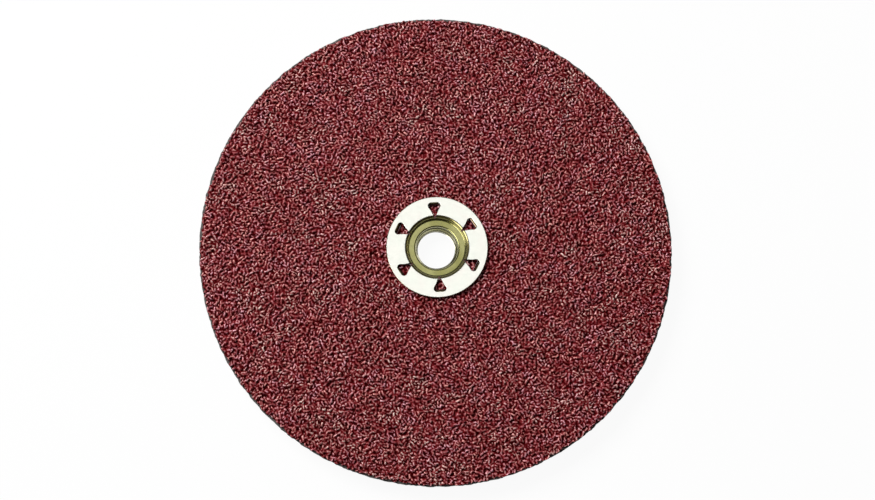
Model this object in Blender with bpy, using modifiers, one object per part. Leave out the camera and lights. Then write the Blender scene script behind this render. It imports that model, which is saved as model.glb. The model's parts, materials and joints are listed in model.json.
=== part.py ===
# A 178 mm fibre sanding disc with a pressed-on threaded hub, in metres, +Z up, grain side up.
# The disc lies flat, resting on the end of the hub's barrel at z = 0, with the hub's axis on Z.
# Pieces: the hub, one steel stamping, and the abrasive coat bonded to its fibre backing.

import math

import bmesh
import bpy
from mathutils import Matrix, Vector

# The disc
DISC_DIAMETER = 0.178
FIBRE_THICKNESS = 0.0008
COAT_THICKNESS = 0.0011
COAT_SETBACK = 0.0004  # the bare fibre edge left round the coat
COAT_EDGE = 0.0003  # bevel on the coat's top edge

# The hub's flange and neck, drawn from one sheet
HUB_HEIGHT = 0.0100
SHEET = 0.0010
FLANGE_DIAMETER = 0.0381
FLANGE_EDGE = 0.00025  # rounding on the flange's outer edges
MOUTH_RADIUS = 0.0123  # where the flange begins to bend down into the neck
UNDER_BEND = 0.0003  # radius under that bend
NECK_DRAFT = math.radians(6)
LEDGE_DEPTH = 0.0029  # from the flange's face down to the ledge round the bore
LEDGE_FILLET = 0.0005

# The barrel, bored clear of a short 5/8-11 thread at its end, which is finished as a plain hole here
THREAD_MAJOR = 0.015875
THREAD_DEPTH = 0.0009
ROOT_WALL = 0.0011  # metal left outside the thread
LIP_ROUND = 0.0006  # rounding from the ledge into the bore
BORE_CLEARANCE = 0.0001  # how far the bore over the thread clears its major radius
THREAD_LENGTH = 0.0026  # from the barrel's end up to the step over the thread
STEP_FALL = 0.0003  # how far that step falls towards the thread
END_CONE = 0.0003  # lead-in cone at the barrel's end
BARREL_FILLET = 0.0003
BARREL_EDGE = 0.00025

# The cut-outs in the flange and the prongs bent down out of them
PRONG_COUNT = 6
PRONG_TURN = math.radians(34.1)
CUTOUT_OUTER = 0.0169
CUTOUT_TIP = 0.01175
CUTOUT_HALF_ANGLE = math.radians(33)
CUTOUT_CORNER = 0.0012
SHEAR = 0.0001  # how much narrower the prong is than its cut-out, on each side
PRONG_THICKNESS = 0.0008
PRONG_ROOT = 0.0008  # how far the prong's root runs into the flange
PRONG_BEND = 0.0002  # inner radius of both of the prong's bends
PRONG_POINT = 0.00025  # width left at the prong's tip

# Fits
SEAT_GAP = 0.0003  # flange to coat, and turned prong to fibre
FIT_CLEARANCE = 0.0003  # round the neck and round each prong

# Facets
HUB_STEPS = 60
DISC_STEPS = 144
ARC_STEPS = 5
PRONG_STATIONS = 18
CUTTER_REACH = 0.002  # how far a cutter stands past what it cuts

# Heights worked out from the sizes above
flange_under = HUB_HEIGHT - SHEET
coat_top = flange_under - SEAT_GAP
fibre_top = coat_top - COAT_THICKNESS
fibre_back = fibre_top - FIBRE_THICKNESS
ledge_top = HUB_HEIGHT - LEDGE_DEPTH


def clear_scene():
    for old in list(bpy.data.objects):
        bpy.data.objects.remove(old, do_unlink=True)


def new_collection(name):
    collection = bpy.data.collections.new(name)
    bpy.context.scene.collection.children.link(collection)
    return collection


def new_object(name, mesh, collection):
    made = bpy.data.objects.new(name, mesh)
    collection.objects.link(made)
    return made


def material(name, colour, roughness, metallic):
    made = bpy.data.materials.new(name)
    made.use_nodes = True
    shader = made.node_tree.nodes["Principled BSDF"]
    shader.inputs["Base Color"].default_value = (*colour, 1)
    shader.inputs["Roughness"].default_value = roughness
    shader.inputs["Metallic"].default_value = metallic
    return made


def arc(centre, radius, start, end, steps=ARC_STEPS):
    """Points (r, z) on an arc about centre, from one angle to another in degrees."""
    points = []
    for i in range(steps + 1):
        angle = math.radians(start + (end - start) * i / steps)
        points.append((centre[0] + radius * math.cos(angle), centre[1] + radius * math.sin(angle)))
    return points


def turned(name, section, steps, collection):
    """A ring turned about Z from a closed section of (r, z) points, listed down its outer side first."""
    mesh = bpy.data.meshes.new(name)
    points = [(r, 0, z) for r, z in section]
    mesh.from_pydata(points, [(i, (i + 1) % len(points)) for i in range(len(points))], [])
    ring = new_object(name, mesh, collection)
    screw = ring.modifiers.new("turn", "SCREW")
    screw.axis = "Z"
    screw.steps = steps
    screw.render_steps = steps
    screw.use_merge_vertices = False
    return ring


def evaluated_mesh(source):
    graph = bpy.context.evaluated_depsgraph_get()
    return bpy.data.meshes.new_from_object(source.evaluated_get(graph))


def hide_cutter(cutter):
    cutter.hide_render = True
    cutter.display_type = "WIRE"
    return cutter


def copied_round(name, source, collection):
    """One hidden object that holds a copy of the source at each prong's place round the hub."""
    mesh = evaluated_mesh(source)
    shape = bmesh.new()
    for i in range(PRONG_COUNT):
        turn = PRONG_TURN + math.tau * i / PRONG_COUNT
        copy = mesh.copy()
        copy.transform(Matrix.Rotation(turn, 4, "Z") @ source.matrix_world)
        shape.from_mesh(copy)
        bpy.data.meshes.remove(copy)
    bmesh.ops.remove_doubles(shape, verts=shape.verts, dist=1e-7)
    bmesh.ops.recalc_face_normals(shape, faces=shape.faces)
    made = bpy.data.meshes.new(name)
    shape.to_mesh(made)
    shape.free()
    bpy.data.objects.remove(source, do_unlink=True)
    return hide_cutter(new_object(name, made, collection))


def boolean(target, other, operation):
    step = target.modifiers.new(other.name, "BOOLEAN")
    step.operation = operation
    step.solver = "EXACT"
    step.object = other


def finish(part, surface):
    """Keeps the evaluated shape as the part's own mesh, smooth on its curves and sharp at its edges."""
    mesh = evaluated_mesh(part)
    part.modifiers.clear()
    part.data = mesh
    mesh.name = part.name
    mesh.materials.clear()
    mesh.materials.append(surface)
    mesh.shade_smooth()
    mesh.set_sharp_from_angle(angle=math.radians(32))


# The hub's section, from the flange's rim down its outer side and back up through the bore

mouth_centre = (MOUTH_RADIUS, flange_under - UNDER_BEND)
draft_degrees = math.degrees(NECK_DRAFT)
mouth_outer = arc(mouth_centre, UNDER_BEND, 90, 180 - draft_degrees)
mouth_inner = arc(mouth_centre, UNDER_BEND + SHEET, 180 - draft_degrees, 90, ARC_STEPS + 2)


def ledge_centre():
    """Centre of the fillet between the neck's drafted wall and the ledge."""
    wall_r, wall_z = mouth_inner[0]
    z = ledge_top + LEDGE_FILLET
    wall_at_z = wall_r - (wall_z - z) * math.tan(NECK_DRAFT)
    return wall_at_z - LEDGE_FILLET / math.cos(NECK_DRAFT), z


def hub_section():
    rim = FLANGE_DIAMETER / 2
    edge = rim - FLANGE_EDGE
    bore = THREAD_MAJOR / 2 + BORE_CLEARANCE
    thread = THREAD_MAJOR / 2 - THREAD_DEPTH
    barrel = THREAD_MAJOR / 2 + ROOT_WALL
    corner = ledge_centre()
    fillet = (barrel + BARREL_FILLET, ledge_top - SHEET - BARREL_FILLET)
    lip = (bore + LIP_ROUND, ledge_top - LIP_ROUND)
    points = arc((edge, HUB_HEIGHT - FLANGE_EDGE), FLANGE_EDGE, 90, 0, 3)
    points += arc((edge, flange_under + FLANGE_EDGE), FLANGE_EDGE, 0, -90, 3)
    points += mouth_outer
    points += arc(corner, LEDGE_FILLET + SHEET, -draft_degrees, -90)
    points += arc(fillet, BARREL_FILLET, 90, 180, 3)
    points += [(barrel, BARREL_EDGE), (barrel - BARREL_EDGE, 0)]
    points += [(thread + END_CONE, 0), (thread, END_CONE)]
    points += [(thread, THREAD_LENGTH - STEP_FALL), (bore, THREAD_LENGTH)]
    points += arc(lip, LIP_ROUND, 180, 90)
    points += arc(corner, LEDGE_FILLET, -90, -draft_degrees)
    points += mouth_inner
    return points


# The prong's flat shape is the cut-out's, and s is the distance along it from the hinge

prong_length = CUTOUT_OUTER - CUTOUT_TIP
corner_middle = (
    (prong_length - CUTOUT_CORNER) * math.tan(CUTOUT_HALF_ANGLE)
    - CUTOUT_CORNER / math.cos(CUTOUT_HALF_ANGLE)
)
corner_end = CUTOUT_CORNER * (1 + math.sin(CUTOUT_HALF_ANGLE))
bend_radius = PRONG_BEND + PRONG_THICKNESS / 2
prong_height = HUB_HEIGHT - SHEET / 2
leg_radius = CUTOUT_OUTER - bend_radius
leg_top = prong_height - bend_radius
turn_height = fibre_back - SEAT_GAP + PRONG_BEND
bend_length = bend_radius * math.pi / 2


def cutout_half_width(s):
    if s < corner_end:
        inside = CUTOUT_CORNER**2 - (s - CUTOUT_CORNER) ** 2
        return corner_middle + math.sqrt(max(inside, 0))
    return (prong_length - s) * math.tan(CUTOUT_HALF_ANGLE)


def cutout_outline():
    """Points (x, y) of one cut-out on +X: a sharp tip towards the bore and two rounded outer corners."""
    side = []
    for i in range(ARC_STEPS + 2):
        angle = (math.pi / 2 + CUTOUT_HALF_ANGLE) * i / (ARC_STEPS + 1)
        x = CUTOUT_OUTER - CUTOUT_CORNER + CUTOUT_CORNER * math.cos(angle)
        side.append((x, corner_middle + CUTOUT_CORNER * math.sin(angle)))
    return [(CUTOUT_TIP, 0)] + [(x, -y) for x, y in reversed(side)] + side


def prong_place(s):
    """The (r, z) of the prong's middle plane: in the flange, down through the disc, and out behind it."""
    if s < 0:
        return CUTOUT_OUTER - s, prong_height
    if s < bend_length:
        angle = math.pi / 2 + s / bend_radius
        return CUTOUT_OUTER + bend_radius * math.cos(angle), leg_top + bend_radius * math.sin(angle)
    s -= bend_length
    leg = leg_top - turn_height
    if s < leg:
        return leg_radius, leg_top - s
    s -= leg
    if s < bend_length:
        angle = math.pi + s / bend_radius
        return CUTOUT_OUTER + bend_radius * math.cos(angle), turn_height + bend_radius * math.sin(angle)
    return CUTOUT_OUTER + s - bend_length, turn_height - bend_radius


def prong_half_width(s):
    if s < 0:
        return corner_middle - SHEAR
    return max(cutout_half_width(s) - SHEAR, PRONG_POINT / 2)


def slot_half_width(top, bottom):
    """Half the widest part of the prong's leg between two heights, with its clearance."""
    places = [bend_length + leg_top - (top + (bottom - top) * i / 8) for i in range(9)]
    return max(prong_half_width(s) for s in places) + FIT_CLEARANCE


def cutout_cutter(collection):
    curve = bpy.data.curves.new("cutout_outline", "CURVE")
    curve.dimensions = "2D"
    curve.fill_mode = "BOTH"
    curve.extrude = (SHEET + CUTTER_REACH) / 2
    outline = cutout_outline()
    spline = curve.splines.new("POLY")
    spline.points.add(len(outline) - 1)
    for point, (x, y) in zip(spline.points, outline):
        point.co = (x, y, 0, 1)
    spline.use_cyclic_u = True
    guide = new_object("cutout_outline", curve, collection)
    guide.location = Vector((0, 0, flange_under - UNDER_BEND + curve.extrude))
    bpy.context.view_layer.update()
    return copied_round("cutouts", guide, collection)


def prong_set(collection):
    """A flat strip bent along the prong's path, narrowed to its outline and given its thickness."""
    shape = bmesh.new()
    bmesh.ops.create_grid(shape, x_segments=PRONG_STATIONS, y_segments=2, size=1)
    for vertex in shape.verts:
        s = (vertex.co.x + 1) / 2 * (prong_length + PRONG_ROOT) - PRONG_ROOT
        r, z = prong_place(s)
        vertex.co = (r, vertex.co.y * prong_half_width(s), z)
    mesh = bpy.data.meshes.new("prong")
    shape.to_mesh(mesh)
    shape.free()
    prong = new_object("prong", mesh, collection)
    wall = prong.modifiers.new("thickness", "SOLIDIFY")
    wall.thickness = PRONG_THICKNESS
    wall.offset = 0
    wall.use_even_offset = True
    return copied_round("prongs", prong, collection)


def slot_cutter(name, top, bottom, collection):
    """The slots that the prongs' legs pass through in one layer of the disc."""
    depth = PRONG_THICKNESS + 2 * FIT_CLEARANCE
    bpy.ops.mesh.primitive_cube_add(size=1, location=(leg_radius, 0, (top + bottom) / 2))
    slot = bpy.context.object
    for other in list(slot.users_collection):
        other.objects.unlink(slot)
    collection.objects.link(slot)
    slot.scale = (depth, 2 * slot_half_width(top, bottom), top - bottom + CUTTER_REACH)
    bpy.context.view_layer.update()
    return copied_round(name, slot, collection)


def make_hub(parts, cutters):
    hub = turned("threaded_hub", hub_section(), HUB_STEPS, parts)
    boolean(hub, cutout_cutter(cutters), "DIFFERENCE")
    boolean(hub, prong_set(cutters), "UNION")
    finish(hub, material("yellow_zinc_steel", (0.74, 0.72, 0.56), 0.22, 1.0))


def centre_hole():
    """The hole clears the neck where it is widest, level with the coat's top."""
    drop = max(UNDER_BEND - SEAT_GAP, 0)
    return MOUTH_RADIUS - math.sqrt(UNDER_BEND**2 - drop**2) + FIT_CLEARANCE


def make_coat(parts, cutters):
    rim = DISC_DIAMETER / 2 - COAT_SETBACK
    hole = centre_hole()
    section = [(rim - COAT_EDGE, coat_top), (rim, coat_top - COAT_EDGE), (rim, fibre_top)]
    section += [(hole, fibre_top), (hole, coat_top)]
    coat = turned("abrasive_coat", section, DISC_STEPS, parts)
    boolean(coat, slot_cutter("coat_slots", coat_top, fibre_top, cutters), "DIFFERENCE")
    finish(coat, material("maroon_grain", (0.19, 0.045, 0.05), 0.45, 0.0))


def make_backing(parts, cutters):
    rim = DISC_DIAMETER / 2
    hole = centre_hole()
    section = [(rim, fibre_top), (rim, fibre_back), (hole, fibre_back), (hole, fibre_top)]
    backing = turned("fibre_backing", section, DISC_STEPS, parts)
    boolean(backing, slot_cutter("fibre_slots", fibre_top, fibre_back, cutters), "DIFFERENCE")
    finish(backing, material("vulcanised_fibre", (0.055, 0.045, 0.042), 0.6, 0.0))


clear_scene()
disc_parts = new_collection("fibre_sanding_disc")
cutting_tools = new_collection("cutters")
make_hub(disc_parts, cutting_tools)
make_coat(disc_parts, cutting_tools)
make_backing(disc_parts, cutting_tools)
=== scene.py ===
import json
import math

import bmesh
import bpy
import numpy as np
from mathutils import Matrix, Vector

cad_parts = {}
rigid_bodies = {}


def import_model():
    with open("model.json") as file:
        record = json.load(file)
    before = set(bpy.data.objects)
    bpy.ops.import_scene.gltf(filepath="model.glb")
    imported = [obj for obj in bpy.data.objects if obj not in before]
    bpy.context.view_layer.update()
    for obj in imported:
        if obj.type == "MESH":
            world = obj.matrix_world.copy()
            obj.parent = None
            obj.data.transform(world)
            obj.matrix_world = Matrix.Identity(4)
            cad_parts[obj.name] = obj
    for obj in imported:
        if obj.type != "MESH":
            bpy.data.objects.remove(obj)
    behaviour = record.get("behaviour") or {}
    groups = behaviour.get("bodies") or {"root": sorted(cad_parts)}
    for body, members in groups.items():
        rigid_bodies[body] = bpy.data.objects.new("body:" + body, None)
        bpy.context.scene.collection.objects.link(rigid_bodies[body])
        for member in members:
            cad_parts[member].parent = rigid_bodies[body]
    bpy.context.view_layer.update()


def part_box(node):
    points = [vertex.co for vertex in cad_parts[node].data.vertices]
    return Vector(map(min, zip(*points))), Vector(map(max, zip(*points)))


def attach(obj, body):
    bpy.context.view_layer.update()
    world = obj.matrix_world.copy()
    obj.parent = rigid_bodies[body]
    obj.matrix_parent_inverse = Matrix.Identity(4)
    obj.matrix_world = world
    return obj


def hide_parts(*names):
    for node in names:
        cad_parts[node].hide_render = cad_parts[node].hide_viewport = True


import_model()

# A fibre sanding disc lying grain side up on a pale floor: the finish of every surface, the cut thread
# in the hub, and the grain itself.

mm = 0.001
degree = math.pi / 180
hairline = 0.01 * mm     # less than any edge or gap here
mergeReach = 1e-7        # vertices nearer than this are one

# Places that the frame gives
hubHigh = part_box("threaded_hub")[1]
coatLow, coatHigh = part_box("abrasive_coat")
fibreLow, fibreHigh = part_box("fibre_backing")
hubTop = hubHigh.z
coatTop = coatHigh.z
bondLine = coatLow.z
fibreBack = fibreLow.z
discRadius = fibreHigh.x


# Small helpers for pieces and for nodes

def addPiece(name, mesh, material):
    piece = bpy.data.objects.new(name, mesh)
    bpy.context.scene.collection.objects.link(piece)
    mesh.materials.clear()
    mesh.materials.append(material)
    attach(piece, "root")
    return piece


def meshFrom(bm, name):
    mesh = bpy.data.meshes.new(name)
    bm.to_mesh(mesh)
    bm.free()
    return mesh


def arcPoints(centre, radius, start, end, steps):
    points = []
    for i in range(steps + 1):
        angle = (start + (end - start) * i / steps) * degree
        points.append((centre[0] + radius * math.cos(angle), centre[1] + radius * math.sin(angle)))
    return points


def newMaterial(name):
    material = bpy.data.materials.new(name)
    material.use_nodes = True
    tree = material.node_tree
    return material, tree, tree.nodes["Principled BSDF"]


def addNode(tree, kind, inputs=None, **settings):
    node = tree.nodes.new(kind)
    for key, value in settings.items():
        setattr(node, key, value)
    for key, value in (inputs or {}).items():
        if isinstance(value, bpy.types.NodeSocket):
            tree.links.new(value, node.inputs[key])
        else:
            node.inputs[key].default_value = value
    return node


def objectPoint(tree):
    return addNode(tree, "ShaderNodeTexCoord").outputs["Object"]


# size is the pattern's pitch in metres
def noise(tree, point, size, detail=2.0, roughness=0.5):
    node = addNode(tree, "ShaderNodeTexNoise", {"Vector": point, "Scale": 1 / size, "Detail": detail,
                                                "Roughness": roughness})
    return node.outputs["Fac"]


def spread(tree, value, low, high, toLow=0.0, toHigh=1.0):
    node = addNode(tree, "ShaderNodeMapRange", {"Value": value, "From Min": low, "From Max": high,
                                                "To Min": toLow, "To Max": toHigh})
    return node.outputs["Result"]


def ramp(tree, value, stops):
    node = addNode(tree, "ShaderNodeValToRGB", {"Fac": value})
    marks = node.color_ramp.elements
    while len(marks) < len(stops):
        marks.new(0.5)
    for mark, (place, colour) in zip(marks, stops):
        mark.position = place
        mark.color = (*colour, 1)
    return node.outputs["Color"]


def mix(tree, factor, first, second, kind="MIX"):
    node = addNode(tree, "ShaderNodeMix", data_type="RGBA", blend_type=kind)
    colours = [socket for socket in node.inputs if socket.type == "RGBA"]
    for socket, value in ((node.inputs[0], factor), (colours[0], first), (colours[1], second)):
        if isinstance(value, bpy.types.NodeSocket):
            tree.links.new(value, socket)
        elif isinstance(value, tuple):
            socket.default_value = (*value, 1)
        else:
            socket.default_value = value
    return next(socket for socket in node.outputs if socket.type == "RGBA")


def combine(tree, kind, first, second):
    node = addNode(tree, "ShaderNodeMath", {0: first, 1: second}, operation=kind)
    return node.outputs[0]


def bump(tree, shader, height, distance):
    node = addNode(tree, "ShaderNodeBump", {"Height": height, "Distance": distance})
    tree.links.new(node.outputs["Normal"], shader.inputs["Normal"])


# Camera: near, tipped a little towards the picture's foot, with the picture's top along +Y

view = {
    "distance": 0.58,
    "tilt": 9.0,
    "swing": -15.0,
    "lens": 63.6,
    "clip": (0.01, 50),
    "aim": (0.2 * mm, -0.9 * mm),
    "aimHeight": 8.0 * mm,
}


def makeCamera():
    lens = bpy.data.cameras.new("camera")
    lens.lens = view["lens"]
    lens.clip_start, lens.clip_end = view["clip"]
    camera = bpy.data.objects.new("camera", lens)
    bpy.context.scene.collection.objects.link(camera)
    tilt = view["tilt"] * degree
    swing = view["swing"] * degree
    lean = math.sin(tilt)
    towards = Vector((lean * math.sin(swing), -lean * math.cos(swing), math.cos(tilt)))
    aim = Vector((*view["aim"], view["aimHeight"]))
    right = Vector((0, 1, 0)).cross(towards).normalized()
    up = towards.cross(right)
    turn = Matrix((right, up, towards)).transposed().to_4x4()
    camera.matrix_world = Matrix.Translation(aim + towards * view["distance"]) @ turn
    bpy.context.scene.camera = camera


# Floor and studio light

studio = {
    "floorSize": 8.0,
    "floorColour": (0.86, 0.86, 0.86),
    "floorShown": 0.94,      # share of the floor that shows as plain white rather than as lit
    "skyHigh": 0.07,         # the dark studio above
    "skyLow": (0.03, 0.16, 0.45),  # its walls, low down: on the dark side, between, on the bright side
    "skyRise": (0.35, 0.6),  # where the walls end and the dark above is reached
    "brightSide": (-0.71, 0.71, 0),
    "wallTurn": 0.8,         # how far towards a side the walls reach that side's tone
    "overhead": {"place": (0.055, 0.18, 1.2), "size": (0.5, 0.5), "radiance": 1.06},
    "key": {"place": (-0.75, 0.70, 0.95), "size": (0.7, 0.7), "radiance": 17.0},
    "hubFill": {"place": (-0.75, 0.70, 0.95), "size": (0.7, 0.7), "radiance": 8.7},
    "neckGlint": {"place": (-0.66, -0.35, 0.46), "size": (0.75, 0.70), "radiance": 4.6},
}


def makeFloor():
    bm = bmesh.new()
    bmesh.ops.create_grid(bm, x_segments=1, y_segments=1, size=studio["floorSize"] / 2)
    bmesh.ops.translate(bm, verts=bm.verts, vec=(0, 0, -hairline))
    floor = bpy.data.objects.new("floor", meshFrom(bm, "floor"))
    bpy.context.scene.collection.objects.link(floor)
    material, tree, shader = newMaterial("pale_floor")
    shader.inputs["Base Color"].default_value = (*studio["floorColour"], 1)
    shader.inputs["Roughness"].default_value = 0.9
    shader.inputs["Specular IOR Level"].default_value = 0.0
    path = addNode(tree, "ShaderNodeLightPath").outputs
    seen = combine(tree, "MAXIMUM", path["Is Camera Ray"], path["Is Glossy Ray"])
    seen = combine(tree, "MAXIMUM", seen, path["Is Transmission Ray"])
    share = combine(tree, "MULTIPLY", seen, studio["floorShown"])
    plain = addNode(tree, "ShaderNodeEmission", {"Color": (1, 1, 1, 1), "Strength": 1.0})
    both = addNode(tree, "ShaderNodeMixShader", {0: share, 1: shader.outputs[0], 2: plain.outputs[0]})
    tree.links.new(both.outputs[0], tree.nodes["Material Output"].inputs["Surface"])
    floor.data.materials.append(material)


# A soft lamp that faces the disc's middle
def makeSoftbox(name):
    setting = studio[name]
    lamp = bpy.data.lights.new(name, "AREA")
    lamp.shape = "RECTANGLE"
    lamp.size, lamp.size_y = setting["size"]
    lamp.energy = math.pi * setting["radiance"] * lamp.size * lamp.size_y
    held = bpy.data.objects.new(name, lamp)
    bpy.context.scene.collection.objects.link(held)
    place = Vector(setting["place"])
    held.location = place
    held.rotation_mode = "QUATERNION"
    held.rotation_quaternion = (-place).to_track_quat("-Z", "Y")


# A lamp either spares the hub or lights nothing else
def lightOnly(name, sparesHub):
    group = bpy.data.collections.new(name + "Receivers")
    bpy.data.objects[name].light_linking.receiver_collection = group
    for thing in bpy.context.scene.collection.all_objects:
        if thing.type == "MESH" and thing.name.startswith("threaded_hub") != sparesHub:
            group.objects.link(thing)


def makeStudio():
    makeFloor()
    for name in ("overhead", "key", "hubFill", "neckGlint"):
        makeSoftbox(name)
    # the hub gets the key's light without its glare
    bpy.data.objects["hubFill"].visible_glossy = False
    world = bpy.data.worlds.new("studio")
    world.use_nodes = True
    tree = world.node_tree
    direction = addNode(tree, "ShaderNodeTexCoord").outputs["Generated"]
    parts = addNode(tree, "ShaderNodeSeparateXYZ", {0: direction}).outputs
    side = addNode(tree, "ShaderNodeVectorMath", {0: direction, 1: studio["brightSide"]},
                   operation="DOT_PRODUCT").outputs["Value"]
    dark, middle, bright = studio["skyLow"]
    walls = ramp(tree, spread(tree, side, -studio["wallTurn"], studio["wallTurn"]), [
        (0.0, (dark,) * 3), (0.5, (middle,) * 3), (1.0, (bright,) * 3)])
    tone = mix(tree, spread(tree, parts["Z"], *studio["skyRise"]), walls, (studio["skyHigh"],) * 3)
    tree.links.new(tone, tree.nodes["Background"].inputs["Color"])
    bpy.context.scene.world = world
    bpy.context.scene.view_settings.view_transform = "Standard"


# Hub: one stamping, turned, its six cut-outs punched, its prongs bent through, and its thread cut

hub = {
    "sheet": 1.0 * mm,
    "flangeEdge": 0.25 * mm,
    "mouthRadius": 12.3 * mm,     # where the flange begins to bend down
    "underBend": 0.3 * mm,
    "draft": 6.0,
    "ledgeDepth": 2.9 * mm,
    "ledgeFillet": 0.5 * mm,
    "threadMajor": 15.875 * mm,
    "threadDepth": 0.9 * mm,
    "threadPitch": 25.4 * mm / 11,
    "threadAngle": 60.0,
    "threadClear": 0.45 * mm,     # how far its cutter stands out of the wall into the bore
    "threadSteps": 96,            # in each turn
    "threadRoot": 0.25 * mm,      # flat left at the root of the thread
    "threadEnd": -105.0,          # where the groove runs out at the barrel's end
    "rootWall": 1.1 * mm,
    "lipRound": 0.6 * mm,         # from the ledge into the bore
    "boreClearance": 0.1 * mm,    # how far the bore over the thread clears its major radius
    "threadLength": 2.6 * mm,     # from the barrel's end up to the step over the thread
    "stepFall": 0.1 * mm,
    "stepRound": 0.12 * mm,
    "endCone": 0.3 * mm,
    "barrelFillet": 0.3 * mm,
    "barrelEdge": 0.25 * mm,
    "turnSteps": 216,
    "arcSteps": 9,
    "mouthSteps": 14,             # round the bend that shows at the flange
    "edgeSteps": 5,               # round its small edges
    "barrelSteps": 3,
    "sharpAngle": 33.0,
    "levelNormal": 0.9999,        # least upward share of a normal that counts as level
}
threadRadius = hub["threadMajor"] / 2 - hub["threadDepth"]
boreRadius = hub["threadMajor"] / 2 + hub["boreClearance"]
flangeUnder = hubTop - hub["sheet"]
ledgeTop = hubTop - hub["ledgeDepth"]

cutout = {
    "count": 6,
    "firstAngle": 34.1,
    "outer": 16.9 * mm,
    "tip": 11.75 * mm,
    "halfAngle": 33.0 * degree,
    "corner": 1.2 * mm,
    "rolled": 0.12 * mm,     # softening of the punched edge
    "rolledMiddle": 0.35,    # share of that at the middle of its curve
    "punchDepth": 0.6 * mm,  # how far the punch goes below the flange's under face
    "punchHead": 1 * mm,     # how far it stands over the top
    "split": 1.15 * mm,      # how far the punch's point has split the neck's bend beyond the tip
    "splitFrom": 2.1 * mm,   # where on the sides the split starts, out from the tip
    "hingeShade": 0.2,       # less of the painted shade on the bend over each prong's hinge, which stays bright
    "hingeRun": 0.5 * mm,
    "hingeDrop": 0.6 * mm,
    "arcSteps": 10,
}
prong = {
    "shear": 0.1 * mm,       # how much narrower it is than its cut-out, on each side
    "thickness": 0.8 * mm,
    "root": 0.8 * mm,
    "bend": 0.2 * mm,        # inner radius of both bends
    "point": 0.25 * mm,
    "seatGap": 0.3 * mm,     # between it and the fibre's back
    "stations": 56,
    "across": 4,
}


# The section (r, z) runs from the flange's rim down its outer side and back up the bore
def hubSection():
    steps = hub["arcSteps"]
    edgeSteps = hub["edgeSteps"]
    draft = hub["draft"]
    sheet = hub["sheet"]
    fillet = hub["ledgeFillet"]
    rim = hubHigh.x - hub["flangeEdge"]
    barrel = hub["threadMajor"] / 2 + hub["rootWall"]
    bend = (hub["mouthRadius"], flangeUnder - hub["underBend"])
    bendInner = arcPoints(bend, hub["underBend"] + sheet, 180 - draft, 90, hub["mouthSteps"])
    wallR, wallZ = bendInner[0]
    cornerZ = ledgeTop + fillet
    cornerR = wallR - (wallZ - cornerZ) * math.tan(draft * degree) - fillet / math.cos(draft * degree)
    under = (barrel + hub["barrelFillet"], ledgeTop - sheet - hub["barrelFillet"])
    lip = (boreRadius + hub["lipRound"], ledgeTop - hub["lipRound"])
    stepSlope = math.atan2(hub["stepFall"], boreRadius - threadRadius)
    turnIn = hub["stepRound"] * math.tan(math.pi / 4 - stepSlope / 2)
    step = (threadRadius + hub["stepRound"], hub["threadLength"] - hub["stepFall"] - turnIn)
    points = arcPoints((rim, hubTop - hub["flangeEdge"]), hub["flangeEdge"], 90, 0, edgeSteps)
    points += arcPoints((rim, flangeUnder + hub["flangeEdge"]), hub["flangeEdge"], 0, -90, edgeSteps)
    points += arcPoints(bend, hub["underBend"], 90, 180 - draft, steps)
    points += arcPoints((cornerR, cornerZ), fillet + sheet, -draft, -90, steps)
    points += arcPoints(under, hub["barrelFillet"], 90, 180, edgeSteps)
    points += arcPoints((barrel - hub["barrelEdge"], hub["barrelEdge"]), hub["barrelEdge"], 0, -90,
                        hub["barrelSteps"])
    points += [(threadRadius + hub["endCone"], 0), (threadRadius, hub["endCone"])]
    points += arcPoints(step, hub["stepRound"], 180, 90 + stepSlope / degree, edgeSteps)
    points += [(boreRadius, hub["threadLength"])]
    points += arcPoints(lip, hub["lipRound"], 180, 90, steps)
    points += arcPoints((cornerR, cornerZ), fillet, -90, -draft, steps)
    points += bendInner
    return points


def turnedMesh(name, section, steps):
    bm = bmesh.new()
    verts = [bm.verts.new((r, 0, z)) for r, z in section]
    edges = [bm.edges.new((a, b)) for a, b in zip(verts, verts[1:] + verts[:1])]
    bmesh.ops.spin(bm, geom=verts + edges, cent=(0, 0, 0), axis=(0, 0, 1), angle=math.tau,
                   steps=steps, use_merge=True)
    bmesh.ops.remove_doubles(bm, verts=bm.verts, dist=mergeReach)
    bmesh.ops.recalc_face_normals(bm, faces=bm.faces)
    return meshFrom(bm, name)


# One cut-out's outline on +X, moved outwards all round by grow
def cutoutOutline(grow):
    run = cutout["outer"] - cutout["tip"]
    half = cutout["halfAngle"]
    corner = cutout["corner"]
    middle = (run - corner) * math.tan(half) - corner / math.cos(half)
    side = []
    for i in range(cutout["arcSteps"] + 1):
        angle = (math.pi / 2 + half) * i / cutout["arcSteps"]
        x = cutout["outer"] - corner + (corner + grow) * math.cos(angle)
        side.append((x, middle + (corner + grow) * math.sin(angle)))
    point = cutout["tip"] - cutout["split"] - grow
    joinX = cutout["tip"] + cutout["splitFrom"]
    joinY = cutout["splitFrom"] * math.tan(half) + grow
    side.append((joinX, joinY))
    return [(point, 0)] + [(x, -y) for x, y in reversed(side)] + side


def cutoutTurn(index):
    return cutout["firstAngle"] * degree + math.tau * index / cutout["count"]


# A shape copied to each cut-out's place round the hub
def roundTheHub(bm, name):
    whole = bmesh.new()
    mesh = meshFrom(bm, name)
    for i in range(cutout["count"]):
        copy = mesh.copy()
        copy.transform(Matrix.Rotation(cutoutTurn(i), 4, "Z"))
        whole.from_mesh(copy)
        bpy.data.meshes.remove(copy)
    bmesh.ops.recalc_face_normals(whole, faces=whole.faces)
    return meshFrom(whole, name)


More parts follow.
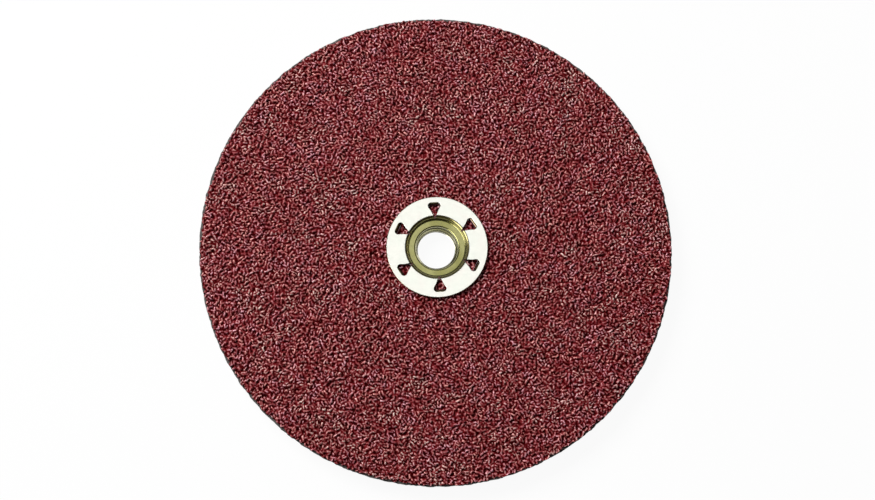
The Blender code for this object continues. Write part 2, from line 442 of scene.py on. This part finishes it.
def cutoutTool():
    rolled = cutout["rolled"]
    middle = rolled * cutout["rolledMiddle"]
    head = cutout["punchHead"]
    # each level's height, and how much wider than the cut-out it is all round
    levels = [(flangeUnder - cutout["punchDepth"], 0), (hubTop - rolled, 0), (hubTop - middle, middle),
              (hubTop, rolled), (hubTop + head, rolled + head)]
    bm = bmesh.new()
    loops = []
    for height, grow in levels:
        ring = [bm.verts.new((x, y, height)) for x, y in cutoutOutline(grow)]
        loops.append([bm.edges.new((a, b)) for a, b in zip(ring, ring[1:] + ring[:1])])
    for low, high in zip(loops, loops[1:]):
        bmesh.ops.bridge_loops(bm, edges=low + high)
    for end in (loops[0], loops[-1]):
        bmesh.ops.contextual_create(bm, geom=end)
    bmesh.ops.recalc_face_normals(bm, faces=bm.faces)
    return roundTheHub(bm, "cutoutTool")


bendRadius = prong["bend"] + prong["thickness"] / 2
prongHeight = hubTop - hub["sheet"] / 2
legRadius = cutout["outer"] - bendRadius
legTop = prongHeight - bendRadius
turnHeight = fibreBack - prong["seatGap"] + prong["bend"]
prongRun = cutout["outer"] - cutout["tip"]


# (r, z) of the prong's middle at distance s from its hinge: down through the disc, then out
def prongPlace(s):
    quarter = bendRadius * math.pi / 2
    leg = legTop - turnHeight
    if s < 0:
        return cutout["outer"] - s, prongHeight
    if s < quarter:
        angle = math.pi / 2 + s / bendRadius
        return cutout["outer"] + bendRadius * math.cos(angle), legTop + bendRadius * math.sin(angle)
    if s < quarter + leg:
        return legRadius, legTop - (s - quarter)
    s -= quarter + leg
    if s < quarter:
        angle = math.pi + s / bendRadius
        return cutout["outer"] + bendRadius * math.cos(angle), turnHeight + bendRadius * math.sin(angle)
    return cutout["outer"] + s - quarter, turnHeight - bendRadius


# Half the cut-out's width at distance s in from its outer end
def cutoutHalfWidth(s):
    half = cutout["halfAngle"]
    corner = cutout["corner"]
    middle = (prongRun - corner) * math.tan(half) - corner / math.cos(half)
    if s < 0:
        return middle
    if s < corner * (1 + math.sin(half)):
        return middle + math.sqrt(max(corner**2 - (s - corner) ** 2, 0))
    return (prongRun - s) * math.tan(half)


def prongHalfWidth(s):
    return max(cutoutHalfWidth(s) - prong["shear"], prong["point"] / 2)


def prongShape():
    bm = bmesh.new()
    bmesh.ops.create_grid(bm, x_segments=prong["stations"], y_segments=prong["across"], size=1)
    for vert in bm.verts:
        s = (vert.co.x + 1) / 2 * (prongRun + prong["root"]) - prong["root"]
        r, z = prongPlace(s)
        vert.co = (r, vert.co.y * prongHalfWidth(s), z)
    bmesh.ops.recalc_face_normals(bm, faces=bm.faces)
    mesh = meshFrom(bm, "prong")
    holder = bpy.data.objects.new("prong", mesh)
    bpy.context.scene.collection.objects.link(holder)
    wall = holder.modifiers.new("wall", "SOLIDIFY")
    wall.thickness = prong["thickness"]
    wall.offset = 0
    wall.use_even_offset = True
    graph = bpy.context.evaluated_depsgraph_get()
    solid = bpy.data.meshes.new_from_object(holder.evaluated_get(graph))
    bpy.data.objects.remove(holder, do_unlink=True)
    made = bmesh.new()
    made.from_mesh(solid)
    bpy.data.meshes.remove(solid)
    return roundTheHub(made, "prongs")


# A right-hand V groove swept up the bore, running out at each end
def threadTool():
    pitch = hub["threadPitch"]
    flank = math.tan(hub["threadAngle"] / 2 * degree)
    major = hub["threadMajor"] / 2
    inner = threadRadius - hub["threadClear"]
    depth = major - inner
    rootHalf = hub["threadRoot"] / 2
    mouthHalf = rootHalf + depth * flank
    start = -0.5 * pitch
    turns = (hub["threadLength"] + 0.5 * pitch - start) / pitch
    steps = round(turns * hub["threadSteps"])
    bm = bmesh.new()
    section = [(inner, -mouthHalf), (major, -rootHalf), (major, rootHalf), (inner, mouthHalf)]
    verts = [bm.verts.new((r, 0, start + z)) for r, z in section]
    edges = [bm.edges.new((a, b)) for a, b in zip(verts, verts[1:] + verts[:1])]
    bm.faces.new(verts)
    swept = bmesh.ops.spin(bm, geom=verts + edges, cent=(0, 0, 0), axis=(0, 0, 1),
                           angle=turns * math.tau, dvec=(0, 0, turns * pitch / steps), steps=steps)
    last = [part for part in swept["geom_last"] if isinstance(part, bmesh.types.BMEdge)]
    bmesh.ops.contextual_create(bm, geom=last)
    bmesh.ops.recalc_face_normals(bm, faces=bm.faces)
    # the groove passes the barrel's end (z = 0) half a turn after its start
    bmesh.ops.rotate(bm, verts=bm.verts, cent=(0, 0, 0),
                     matrix=Matrix.Rotation((hub["threadEnd"] - 180) * degree, 3, "Z"))
    return meshFrom(bm, "threadTool")


# The mesh that comes out when the tools are applied to the target in order
def carve(target, tools):
    helpers = []
    for mesh, operation in tools:
        helper = bpy.data.objects.new(mesh.name, mesh)
        bpy.context.scene.collection.objects.link(helper)
        step = target.modifiers.new(mesh.name, "BOOLEAN")
        step.operation = operation
        step.solver = "EXACT"
        step.object = helper
        helpers.append(helper)
    graph = bpy.context.evaluated_depsgraph_get()
    mesh = bpy.data.meshes.new_from_object(target.evaluated_get(graph))
    for helper in helpers:
        bpy.data.objects.remove(helper, do_unlink=True)
    return mesh


# How fast the split widens, from its point outwards
def splitSlope():
    return cutout["splitFrom"] * math.tan(cutout["halfAngle"]) / (cutout["splitFrom"] + cutout["split"])


# 1 on what lies inside a cut-out, below the flange's face, and 0 elsewhere: where shade and the grain's
# red reflection are painted on the metal
def cutoutShadeAt(place):
    if place.z > hubTop - hairline:
        return 0.0
    step = math.tau / cutout["count"]
    angle = math.atan2(place.y, place.x) - cutout["firstAngle"] * degree
    angle -= step * round(angle / step)
    r = math.hypot(place.x, place.y)
    x, y = r * math.cos(angle), abs(r * math.sin(angle))
    beyond = cutout["outer"] - x
    if beyond < -hairline or x < cutout["tip"] - cutout["split"]:
        return 0.0
    width = cutoutHalfWidth(beyond)
    if beyond > prongRun - cutout["splitFrom"]:
        width = max(width, (x - cutout["tip"] + cutout["split"]) * splitSlope())
    if y > width + 2 * hairline:
        return 0.0
    onHinge = beyond < cutout["hingeRun"] and place.z > hubTop - cutout["hingeDrop"]
    return cutout["hingeShade"] if onHinge else 1.0


def makeHub(material):
    blank = bpy.data.objects.new("blank", turnedMesh("blank", hubSection(), hub["turnSteps"]))
    bpy.context.scene.collection.objects.link(blank)
    tools = [(cutoutTool(), "DIFFERENCE"), (prongShape(), "UNION"), (threadTool(), "DIFFERENCE")]
    mesh = carve(blank, tools)
    bpy.data.objects.remove(blank, do_unlink=True)
    mesh.name = "threaded_hub_finished"
    mesh.shade_smooth()
    mesh.set_sharp_from_angle(angle=hub["sharpAngle"] * degree)
    bm = bmesh.new()
    bm.from_mesh(mesh)
    # the flat face shades apart from the curves that border it
    for face in bm.faces:
        if face.normal.z > hub["levelNormal"] and face.calc_center_median().z > hubTop - hairline:
            for edge in face.edges:
                edge.smooth = False
    # painted shade in the cut-outs: how much of it lies on each vertex
    stain = bm.verts.layers.float.new("stain")
    for vert in bm.verts:
        vert[stain] = cutoutShadeAt(vert.co)
    bm.to_mesh(mesh)
    bm.free()
    piece = addPiece("threaded_hub_finished", mesh, material)
    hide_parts("threaded_hub")
    print("hub:", len(mesh.polygons), "faces")


# Grain: one height field for the whole coat, cut into six closed sectors

grain = {
    "seed": 7,
    "pitch": 1.15 * mm,
    "jitter": 0.42,                  # share of the pitch that a grain may stray
    "halfLength": (0.55 * mm, 1.15 * mm),
    "halfWidth": (0.22 * mm, 0.48 * mm),
    "crest": (0.75 * mm, 1.40 * mm),  # height of a grain's crest over the bond line
    "sideSlope": (1.0, 2.2),
    "endSlope": (1.0, 2.4),
    "topSlope": 0.45,
    "flatLength": 0.6,               # share of its half length and half width that is its top
    "flatWidth": 0.35,
    "span": 2.2 * mm,                # how far from its middle a grain is worked out
    "batch": 2000,                   # grains worked out together
    "clump": 3.2 * mm,               # neighbouring grains stand higher or lower together
    "clumpHeight": 0.24 * mm,
    "resinFloor": 0.15 * mm,         # the resin between the grains, over the bond line
    "softening": (0.06, 0.24, 0.40, 0.24, 0.06),  # the size resin rounds every edge a little
    "crestSpan": 0.5 * mm,           # how far round a point its crest is measured
    "crestHeight": 0.45 * mm,        # height from the deepest pit to the highest crest
    "ridgeSpan": 0.19 * mm,          # the same for the pale line along its sharpest edge, partly wear and partly painted highlight
    "ridgeHeight": 0.07 * mm,
    "spanReach": 1.7,                # where each of these measures is cut off, in spans
    "fieldStep": 0.125 * mm,
    "fieldMargin": 2 * mm,           # how far past the disc the height field goes
    "fieldEdge": 0.5 * mm,           # and how much of that has no grain
    "cell": 0.25 * mm,
    "pressedBelow": 0.06 * mm,       # the flange holds the grain this far under its own face
    "pressedZone": 0.5 * mm,         # and this far out from its edge
    "highest": 0.3 * mm,             # no grain comes nearer to the level of the hub's top
    "rim": 88.45 * mm,
    "rimRag": 0.75 * mm,
    "rimHeights": (0.5 * mm, 1.2 * mm),  # grain this low leaves the rim short, and this high fills it
    "rimZone": 1.5 * mm,             # how far in from the rim its outline is smoothed
    "rimPasses": 3,
    "wallRings": (0.45, 0.0),        # rings down its side walls, as shares of their height
    "slotClearance": 0.03 * mm,      # the grain closes up tightly round the neck and each prong
    "sharpAngle": 75.0,
}
halfSector = 180 / cutout["count"] * degree


# A field's value at each x, y, from the four points round it
def fieldAt(field, reach, x, y, step):
    fi, fj = (x + reach) / step, (y + reach) / step
    i, j = np.floor(fi).astype(int), np.floor(fj).astype(int)
    a, b = fi - i, fj - j
    return ((field[j, i] * (1 - a) + field[j, i + 1] * a) * (1 - b)
            + (field[j + 1, i] * (1 - a) + field[j + 1, i + 1] * a) * b)


def blurred(field, taps):
    half = len(taps) // 2
    for axis in (0, 1):
        field = sum(tap * np.roll(field, k - half, axis) for k, tap in enumerate(taps))
    return field


# How far each point of a height field stands over its surroundings
def prominence(field, span):
    step = grain["fieldStep"]
    half = int(grain["spanReach"] * span / step) + 1
    taps = np.exp(-0.5 * (np.arange(-half, half + 1) * step / span) ** 2)
    return field - blurred(field, taps / taps.sum())


def grainFields():
    rng = np.random.default_rng(grain["seed"])
    step = grain["fieldStep"]
    reach = discRadius + grain["fieldMargin"]
    count = int(2 * reach / step) + 1
    pitch = grain["pitch"]
    rowPitch = pitch * math.sqrt(3) / 2
    columns = int(2 * reach / pitch) + 1
    rows = int(2 * reach / rowPitch) + 1
    column, row = np.meshgrid(np.arange(columns), np.arange(rows))
    x = (column + 0.5 * (row % 2)).ravel() * pitch - reach
    y = row.ravel() * rowPitch - reach
    x += rng.uniform(-1, 1, x.size) * grain["jitter"] * pitch
    y += rng.uniform(-1, 1, x.size) * grain["jitter"] * pitch
    keep = np.hypot(x, y) < reach - grain["fieldEdge"]
    x, y = x[keep], y[keep]
    n = x.size
    turn = rng.uniform(0, math.pi, n)
    length = rng.uniform(*grain["halfLength"], n)
    width = rng.uniform(*grain["halfWidth"], n)
    crest = rng.uniform(*grain["crest"], n)
    left, right = rng.uniform(*grain["sideSlope"], (2, n))
    near, far = rng.uniform(*grain["endSlope"], (2, n))
    tiltU, tiltV = rng.uniform(-1, 1, (2, n)) * grain["topSlope"]
    cells = int(2 * reach / grain["clump"]) + 3
    clumps = rng.uniform(-1, 1, (cells, cells))
    crest += fieldAt(clumps, reach, x, y, grain["clump"]) * grain["clumpHeight"]
    field = np.full(count * count, grain["resinFloor"])
    half = int(grain["span"] / step)
    across, along = np.meshgrid(np.arange(-half, half + 1), np.arange(-half, half + 1))
    across, along = across.ravel(), along.ravel()
    for first in range(0, n, grain["batch"]):
        part = slice(first, first + grain["batch"])
        i = np.clip(np.rint((x[part] + reach) / step).astype(int)[:, None] + across, 0, count - 1)
        j = np.clip(np.rint((y[part] + reach) / step).astype(int)[:, None] + along, 0, count - 1)
        dx = i * step - reach - x[part, None]
        dy = j * step - reach - y[part, None]
        c, s = np.cos(turn[part, None]), np.sin(turn[part, None])
        u, v = dx * c + dy * s, dy * c - dx * s
        top = crest[part, None]
        flatU = length[part, None] * grain["flatLength"]
        flatV = width[part, None] * grain["flatWidth"]
        z = top + tiltU[part, None] * u + tiltV[part, None] * v
        z = np.minimum(z, top - left[part, None] * (v - flatV))
        z = np.minimum(z, top + right[part, None] * (v + flatV))
        z = np.minimum(z, top - near[part, None] * (u - flatU))
        z = np.minimum(z, top + far[part, None] * (u + flatU))
        np.maximum.at(field, (j * count + i).ravel(), z.ravel())
    field = blurred(field.reshape(count, count), grain["softening"])
    print("grain:", n, "grains, mean height", round(float(field.mean() / mm), 3), "mm")
    crest = prominence(field, grain["crestSpan"]) / grain["crestHeight"] + 0.5
    ridge = prominence(field, grain["ridgeSpan"]) / grain["ridgeHeight"]
    return {"height": field, "crest": np.clip(crest, 0, 1), "ridge": np.clip(ridge, 0, 1)}, reach


# The coat's hole clears the neck where it is widest, level with the coat's top
def coatHole():
    drop = max(hub["underBend"] - (flangeUnder - coatTop), 0)
    return hub["mouthRadius"] - math.sqrt(hub["underBend"] ** 2 - drop**2) + grain["slotClearance"]


# Half the width of a slot that clears its prong all the way through the coat
def slotHalfWidth():
    quarter = bendRadius * math.pi / 2
    levels = [coatTop + (bondLine - coatTop) * i / 8 for i in range(9)]
    places = [quarter + legTop - level for level in levels]
    return max(prongHalfWidth(s) for s in places) + grain["slotClearance"]


# A flat grid in the shape of one sector, with its middle on +X
def sectorGrid(hole):
    cell = grain["cell"]
    near = hole * math.cos(halfSector) - cell
    far = discRadius
    side = far * math.sin(halfSector) + cell
    bm = bmesh.new()
    place = Matrix.Diagonal(((far - near) / 2, side, 1, 1))
    place.translation.x = (near + far) / 2
    bmesh.ops.create_grid(bm, x_segments=round((far - near) / cell), y_segments=round(2 * side / cell),
                          size=1, matrix=place)
    for sign in (1, -1):
        normal = (-math.sin(halfSector), sign * math.cos(halfSector), 0)
        bmesh.ops.bisect_plane(bm, geom=bm.verts[:] + bm.edges[:] + bm.faces[:], dist=mergeReach,
                               plane_co=(0, 0, 0), plane_no=normal, clear_outer=True)
    return bm


def flatPlaces(bm):
    co = np.array([vert.co[:] for vert in bm.verts])
    return co[:, 0], co[:, 1], np.hypot(co[:, 0], co[:, 1])


# Takes out the marked vertices, and any other where the outline would touch itself
def trimSector(bm, gone):
    bm.verts.ensure_lookup_table()
    bmesh.ops.delete(bm, geom=[bm.verts[i] for i in np.nonzero(gone)[0]], context="VERTS")
    stray = [vert for vert in bm.verts if not vert.link_faces]
    while stray:
        bmesh.ops.delete(bm, geom=stray, context="VERTS")
        stray = [vert for vert in bm.verts if not vert.link_faces
                 or sum(edge.is_boundary for edge in vert.link_edges) > 2]
    bmesh.ops.delete(bm, geom=[edge for edge in bm.edges if edge.is_wire], context="EDGES")


# Side walls down to the bond line, and a flat bottom
def closeSector(bm):
    for share in grain["wallRings"]:
        edges = [edge for edge in bm.edges if edge.is_boundary]
        drawn = bmesh.ops.extrude_edge_only(bm, edges=edges)
        for part in drawn["geom"]:
            if isinstance(part, bmesh.types.BMVert):
                part.co.z = bondLine + (part.co.z - bondLine) * share
    edges = [edge for edge in bm.edges if edge.is_boundary]
    bmesh.ops.triangle_fill(bm, use_beauty=True, edges=edges, normal=(0, 0, -1))
    bmesh.ops.recalc_face_normals(bm, faces=bm.faces)


def openEdges(bm):
    return sum(1 for edge in bm.edges if not edge.is_manifold)


def grainSector(index, fields, reach, material):
    turn = (cutout["firstAngle"] + 360 * index / cutout["count"]) * degree
    cell = grain["cell"]
    hole = coatHole()
    bm = sectorGrid(hole)

    def looked(name, x, y):
        c, s = math.cos(turn), math.sin(turn)
        return fieldAt(fields[name], reach, x * c - y * s, x * s + y * c, grain["fieldStep"])

    # high grain reaches further out over the rim than low grain
    x, y, radius = flatPlaces(bm)
    atRim = grain["rim"] / np.maximum(radius, cell)
    low, high = grain["rimHeights"]
    share = np.clip((looked("height", x * atRim, y * atRim) - low) / (high - low), 0, 1)
    rim = grain["rim"] + (share - 0.5) * grain["rimRag"]
    slotDepth = prong["thickness"] / 2 + grain["slotClearance"]
    slotHalf = slotHalfWidth()
    inSlot = (np.abs(x - legRadius) < slotDepth) & (np.abs(y) < slotHalf)
    trimSector(bm, (radius > rim) | (radius < hole) | inSlot)

    x, y, radius = flatPlaces(bm)
    limit = np.where(radius < hubHigh.x + grain["pressedZone"], flangeUnder - grain["pressedBelow"],
                     hubTop - grain["highest"])
    limit = np.where(radius < hub["mouthRadius"] + cell, coatTop, limit)
    height = np.minimum(looked("height", x, y) + bondLine, limit)
    crest = bm.verts.layers.float.new("crest")
    ridge = bm.verts.layers.float.new("ridge")
    crests = looked("crest", x, y)
    ridges = looked("ridge", x, y)
    for vert, z, crestValue, ridgeValue in zip(bm.verts, height, crests, ridges):
        vert.co.z = z
        vert[crest] = crestValue
        vert[ridge] = ridgeValue
        # the slot's stepped outline is drawn straight
        across, along = vert.co.x - legRadius, abs(vert.co.y)
        if vert.is_boundary and abs(across) < slotDepth + cell and along < slotHalf + cell:
            if abs(across) > slotDepth:
                vert.co.x = legRadius + math.copysign(slotDepth, across)
            if along > slotHalf:
                vert.co.y = math.copysign(slotHalf, vert.co.y)
    rimVerts = [vert for vert in bm.verts if vert.is_boundary
                and math.hypot(vert.co.x, vert.co.y) > grain["rim"] - grain["rimZone"]
                and abs(vert.co.y) < vert.co.x * math.tan(halfSector) - hairline]
    for i in range(grain["rimPasses"]):
        bmesh.ops.smooth_vert(bm, verts=rimVerts, factor=0.5, use_axis_x=True, use_axis_y=True)

    closeSector(bm)
    bmesh.ops.rotate(bm, verts=bm.verts, cent=(0, 0, 0), matrix=Matrix.Rotation(turn, 3, "Z"))
    gaps = openEdges(bm)
    name = "grain_sector_%d" % (index + 1)
    mesh = meshFrom(bm, name)
    mesh.shade_smooth()
    mesh.set_sharp_from_angle(angle=grain["sharpAngle"] * degree)
    piece = addPiece(name, mesh, material)
    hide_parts("abrasive_coat")
    triangles = sum(len(face.vertices) - 2 for face in mesh.polygons)
    print(name + ":", triangles, "triangles,", gaps, "open edges")


# Fibre backing: the sheet with its rough, cut edge

backing = {
    "seed": 11,
    "rimSteps": 1440,
    "rag": 0.5 * mm,         # depth of the nicks in its edge
    "waves": (range(40, 120, 7), range(120, 420, 23)),  # turns round the rim of each wave in the nicks
    "waveShare": (0.4, 1.0),
    "holeSteps": 120,
    "neckGap": 0.03 * mm,    # the fibre was pressed tightly round the neck
    "slotClearance": 0.3 * mm,  # over the grain's own slot
    "sharpAngle": 30.0,
}


# The neck's outer radius at a height below its bend
def neckRadius(height):
    draft = hub["draft"] * degree
    bendEnd = flangeUnder - hub["underBend"] * (1 - math.sin(draft))
    bendSide = hub["mouthRadius"] - hub["underBend"] * math.cos(draft)
    return bendSide - (bendEnd - height) * math.tan(draft)


def raggedRadius():
    rng = np.random.default_rng(backing["seed"])
    angle = np.arange(backing["rimSteps"]) * math.tau / backing["rimSteps"]
    wave = np.zeros(angle.size)
    coarse, fine = backing["waves"]
    for turns in (*coarse, *fine):
        size = rng.uniform(*backing["waveShare"]) / math.sqrt(turns)
        wave += size * np.sin(turns * angle + rng.uniform(0, math.tau))
    wave = (wave - wave.min()) / (wave.max() - wave.min())
    return discRadius - backing["rag"] * (1 - wave)


def makeBacking(material):
    bm = bmesh.new()

    def loop(points):
        ring = [bm.verts.new((x, y, fibreBack)) for x, y in points]
        return [bm.edges.new((a, b)) for a, b in zip(ring, ring[1:] + ring[:1])]

    def circle(radii):
        angles = [math.tau * i / len(radii) for i in range(len(radii))]
        return [(r * math.cos(a), r * math.sin(a)) for r, a in zip(radii, angles)]

    loop(circle(list(raggedRadius())))
    loop(circle([neckRadius(fibreHigh.z) + backing["neckGap"]] * backing["holeSteps"]))
    depth = prong["thickness"] / 2 + backing["slotClearance"]
    half = slotHalfWidth() + backing["slotClearance"]
    for i in range(cutout["count"]):
        turn = Matrix.Rotation(cutoutTurn(i), 2)
        corners = [(-depth, -half), (depth, -half), (depth, half), (-depth, half)]
        loop([turn @ Vector((legRadius + x, y)) for x, y in corners])
    bmesh.ops.triangle_fill(bm, use_beauty=True, edges=bm.edges[:], normal=(0, 0, -1))
    drawn = bmesh.ops.extrude_face_region(bm, geom=bm.faces[:])
    for part in drawn["geom"]:
        if isinstance(part, bmesh.types.BMVert):
            part.co.z = fibreHigh.z
    bmesh.ops.recalc_face_normals(bm, faces=bm.faces)
    gaps = openEdges(bm)
    mesh = meshFrom(bm, "fibre_backing_cut")
    mesh.shade_smooth()
    mesh.set_sharp_from_angle(angle=backing["sharpAngle"] * degree)
    piece = addPiece("fibre_backing_cut", mesh, material)
    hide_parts("fibre_backing")
    print("backing:", len(mesh.polygons), "faces,", gaps, "open edges")


# Finishes

plate = {
    "faceBlend": 0.05 * mm,          # height over which the flat face's finish gives way to the neck's
    "flangePatch": 5 * mm,
    "flangeTones": [(0.3, (0.93, 0.955, 0.86)), (0.5, (0.955, 0.96, 0.87)), (0.7, (0.97, 0.94, 0.86))],
    "flangeMetallic": 0.5,           # satin: half of what it shows is plain light, seen from any side
    "neckSpan": (7 * mm, 13 * mm),   # from the bore out to the flange
    # paler in the bore, darker on the ledge and darkest down the bend: painted shade in the hub's
    # recess, partly chromate lying thicker there
    "neckShadeTones": [(0.0, (0.72, 0.70, 0.52)), (0.155, (0.66, 0.63, 0.42)), (0.175, (0.39, 0.375, 0.13)),
                  (0.55, (0.39, 0.375, 0.13)), (0.66, (0.30, 0.27, 0.095)), (1.0, (0.27, 0.22, 0.08))],
    "neckPatch": 9 * mm,
    "neckTint": (0.76, 0.76, 0.56),
    "stain": (0.08, 0.020, 0.015),   # painted shade, tinted with the grain's red reflection, on the punched walls and the prongs
    "coat": {"Coat Weight": 0.8, "Coat IOR": 1.6, "Coat Roughness": 0.12},
    "smear": 1.2 * mm,
    "roughness": (0.16, 0.26),
    "pebble": 0.35 * mm,
    "pebbleDepth": 0.006 * mm,
}


def zincPlate():
    material, tree, shader = newMaterial("yellow_zinc_plate")
    point = objectPoint(tree)
    flat = addNode(tree, "ShaderNodeVectorMath", {0: point, 1: (1, 1, 0)}, operation="MULTIPLY")
    radius = addNode(tree, "ShaderNodeVectorMath", {0: flat.outputs[0]}, operation="LENGTH")
    height = addNode(tree, "ShaderNodeSeparateXYZ", {0: point}).outputs["Z"]
    onFace = spread(tree, height, hubTop - plate["faceBlend"], hubTop - hairline)
    flange = ramp(tree, noise(tree, point, plate["flangePatch"]), plate["flangeTones"])
    # the neck's tone by radius is painted shade in the recess, partly thicker chromate
    neck = ramp(tree, spread(tree, radius.outputs["Value"], *plate["neckSpan"]), plate["neckShadeTones"])
    patchy = spread(tree, noise(tree, point, plate["neckPatch"]), 0.42, 0.60)
    neck = mix(tree, patchy, neck, mix(tree, 1.0, neck, plate["neckTint"], "MULTIPLY"))
    colour = mix(tree, onFace, neck, flange)
    # the cut-outs' walls and prongs get painted shade, tinted with the grain's red reflection
    stain = addNode(tree, "ShaderNodeAttribute", attribute_name="stain").outputs["Fac"]
    colour = mix(tree, stain, colour, plate["stain"])
    tree.links.new(colour, shader.inputs["Base Color"])
    metallic = spread(tree, onFace, 0.0, 1.0, 1.0, plate["flangeMetallic"])
    tree.links.new(metallic, shader.inputs["Metallic"])
    for name, value in plate["coat"].items():
        shader.inputs[name].default_value = value
    rough = spread(tree, noise(tree, point, plate["smear"], 3, 0.6), 0.3, 0.7, *plate["roughness"])
    tree.links.new(rough, shader.inputs["Roughness"])
    bump(tree, shader, noise(tree, point, plate["pebble"], 3, 0.55), plate["pebbleDepth"])
    return material


resin = {
    "drift": 3.0 * mm,               # patches where the coat lies thicker or thinner
    "driftShare": 0.26,
    # dark in the pits and lighter on the crests: painted shade in the hollows, partly resin lying
    # thicker there
    "tones": [(0.0, (0.030, 0.0001, 0.0002)), (0.40, (0.095, 0.0015, 0.003)),
              (0.62, (0.17, 0.011, 0.015)), (1.0, (0.26, 0.034, 0.040))],
    "wearAndHighlightEach": 1.7 * mm,            # paler edges, partly wear and partly painted highlight, stronger on some grains than on others
    "wearAndHighlightArea": 3.6 * mm,
    # cream patches in the pale edges' colour, partly dust and partly painted highlight
    "dustAndSheenArea": 6 * mm,
    "dustAndSheen": (0.80, 0.66, 0.58),
    "pinkArea": 3.3 * mm,
    "pinks": ((0.92, 0.42, 0.38), (0.84, 0.42, 0.50)),
    "roughness": 0.30,
    "specular": (0.06, 0.5),         # in the pits and on the crests
    "specularTint": (1, 0.7, 0.7, 1),
    "pebble": 0.4 * mm,
    "pebbleDepth": 0.03 * mm,
}


def maroonResin():
    material, tree, shader = newMaterial("maroon_resin_grain")
    point = objectPoint(tree)
    crest = addNode(tree, "ShaderNodeAttribute", attribute_name="crest").outputs["Fac"]
    ridge = addNode(tree, "ShaderNodeAttribute", attribute_name="ridge").outputs["Fac"]
    share = resin["driftShare"]
    drift = spread(tree, noise(tree, point, resin["drift"], 2, 0.6), 0.3, 0.7, -share, share)
    # the crest measure darkens the pits: painted shade, partly thicker resin
    red = ramp(tree, combine(tree, "ADD", crest, drift), resin["tones"])
    eachGrain = spread(tree, noise(tree, point, resin["wearAndHighlightEach"], 2, 0.6), 0.38, 0.62, 0.1, 1.0)
    area = spread(tree, noise(tree, point, resin["wearAndHighlightArea"], 2, 0.6), 0.38, 0.56, 0.25, 1.0)
    # pale lines along the sharpest edges: painted highlight, partly wear
    wearAndHighlight = combine(tree, "MULTIPLY", spread(tree, ridge, 0.25, 0.9), eachGrain)
    wearAndHighlight = combine(tree, "MULTIPLY", wearAndHighlight, area)
    pink = mix(tree, spread(tree, noise(tree, point, resin["pinkArea"]), 0.42, 0.58), *resin["pinks"])
    dustAndSheenShare = spread(tree, noise(tree, point, resin["dustAndSheenArea"], 3, 0.6), 0.48, 0.66)
    tone = mix(tree, wearAndHighlight, red, mix(tree, dustAndSheenShare, pink, resin["dustAndSheen"]))
    tree.links.new(tone, shader.inputs["Base Color"])
    shader.inputs["Roughness"].default_value = resin["roughness"]
    shader.inputs["Specular Tint"].default_value = resin["specularTint"]
    shine = spread(tree, crest, 0.45, 0.85, *resin["specular"])
    tree.links.new(shine, shader.inputs["Specular IOR Level"])
    bump(tree, shader, noise(tree, point, resin["pebble"], 3, 0.6), resin["pebbleDepth"])
    return material


fibre = {
    "mottle": 1.5 * mm,
    "tones": [(0.3, (0.040, 0.033, 0.030)), (0.7, (0.085, 0.072, 0.064))],
    "smear": 0.8 * mm,
    "roughness": (0.5, 0.7),
    "strand": 0.5 * mm,
    "strandDepth": 0.02 * mm,
}


def vulcanisedFibre():
    material, tree, shader = newMaterial("vulcanised_fibre_sheet")
    point = objectPoint(tree)
    tone = ramp(tree, noise(tree, point, fibre["mottle"], 4, 0.65), fibre["tones"])
    tree.links.new(tone, shader.inputs["Base Color"])
    rough = spread(tree, noise(tree, point, fibre["smear"], 3, 0.6), 0.3, 0.7, *fibre["roughness"])
    tree.links.new(rough, shader.inputs["Roughness"])
    bump(tree, shader, noise(tree, point, fibre["strand"], 3, 0.6), fibre["strandDepth"])
    return material


makeCamera()
makeStudio()
print("camera, floor and lamps in place")
makeHub(zincPlate())
grainMaps, mapReach = grainFields()
grainFinish = maroonResin()
for sector in range(cutout["count"]):
    grainSector(sector, grainMaps, mapReach, grainFinish)
makeBacking(vulcanisedFibre())
# the key would burn out the bright hub, which has a fill and a glint of its own
lightOnly("key", sparesHub=True)
lightOnly("hubFill", sparesHub=False)
lightOnly("neckGlint", sparesHub=False)
print("finishes on")
